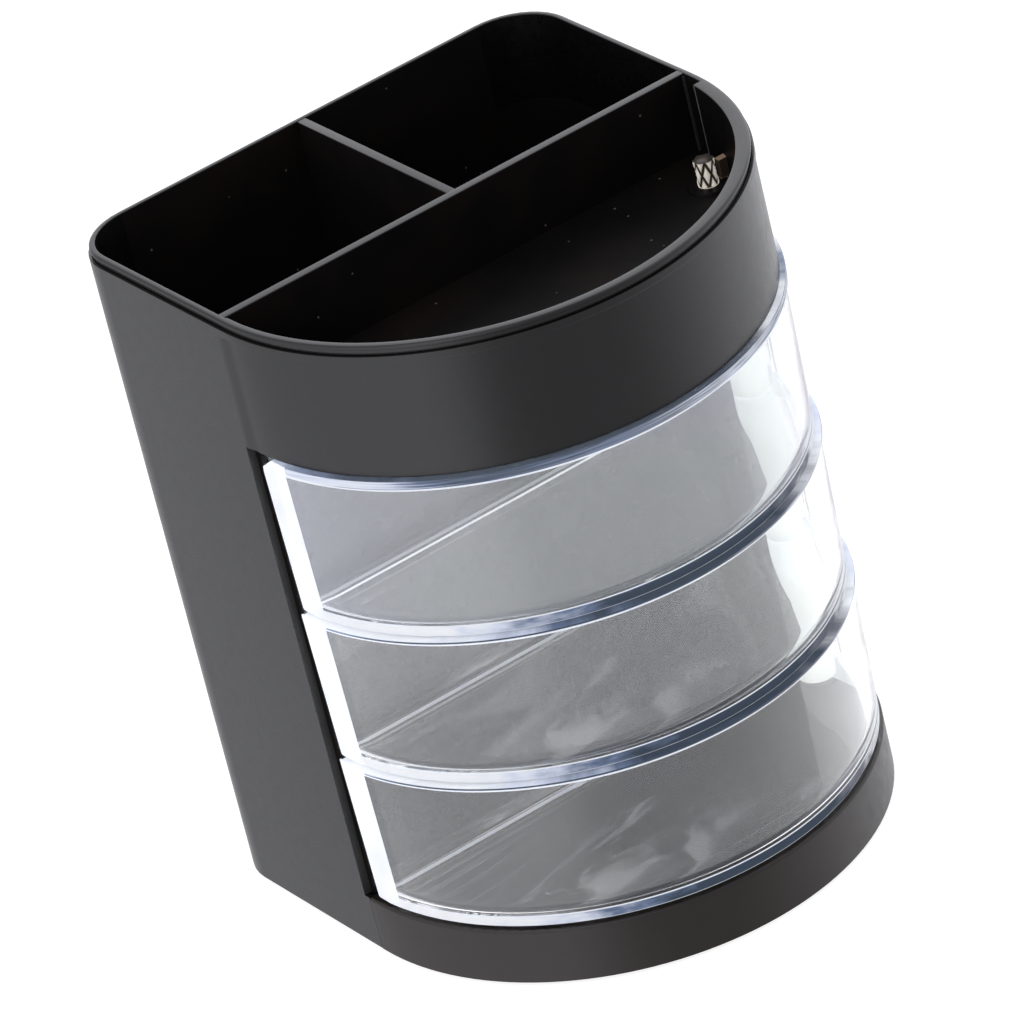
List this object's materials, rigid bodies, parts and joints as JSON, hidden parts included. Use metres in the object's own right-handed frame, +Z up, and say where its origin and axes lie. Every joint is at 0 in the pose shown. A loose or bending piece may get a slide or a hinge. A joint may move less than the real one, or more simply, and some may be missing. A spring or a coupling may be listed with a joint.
{
  "type": "desk organizer with swing-out drawers",
  "caption": "Small desk and hobby organizer: open compartments on top, and clear D-shaped drawers that swing out on one vertical pin at the front right.",
  "frame": {"origin": "middle of the footprint on the table", "axes": "+Z up, -Y the side with the drawers, +X the side with the pivot pin"},
  "size_m": [0.11, 0.1108, 0.1398],
  "materials": {
    "black_plastic": "fine satin moulded polystyrene",
    "clear_plastic": "clear moulded polystyrene, glossy",
    "pin_steel": "bright drawn steel with a knurled head",
    "screw_steel": "zinc plated",
    "foot_rubber": "matte black"
  },
  "bodies": {
    "casing": {"outer_shell": "black_plastic", "top_tray": "black_plastic", "base": "black_plastic", "pivot_pin": "pin_steel", "base_screws": "screw_steel", "rubber_feet": "foot_rubber"},
    "lower_drawer": {"drawer_bottom": "clear_plastic"},
    "middle_drawer": {"drawer_middle": "clear_plastic"},
    "upper_drawer": {"drawer_top": "clear_plastic"}
  },
  "joints": [
    {"name": "lower_drawer_swing", "type": "hinge", "parent": "casing", "child": "lower_drawer", "pos_m": [0.0454, -0.0117, 0.0291], "axis": [0, 0, 1], "range_deg": [0, 130]},
    {"name": "middle_drawer_swing", "type": "hinge", "parent": "casing", "child": "middle_drawer", "pos_m": [0.0454, -0.0117, 0.0613], "axis": [0, 0, 1], "range_deg": [0, 130]},
    {"name": "upper_drawer_swing", "type": "hinge", "parent": "casing", "child": "upper_drawer", "pos_m": [0.0454, -0.0117, 0.0948], "axis": [0, 0, 1], "range_deg": [0, 130]}
  ]
}
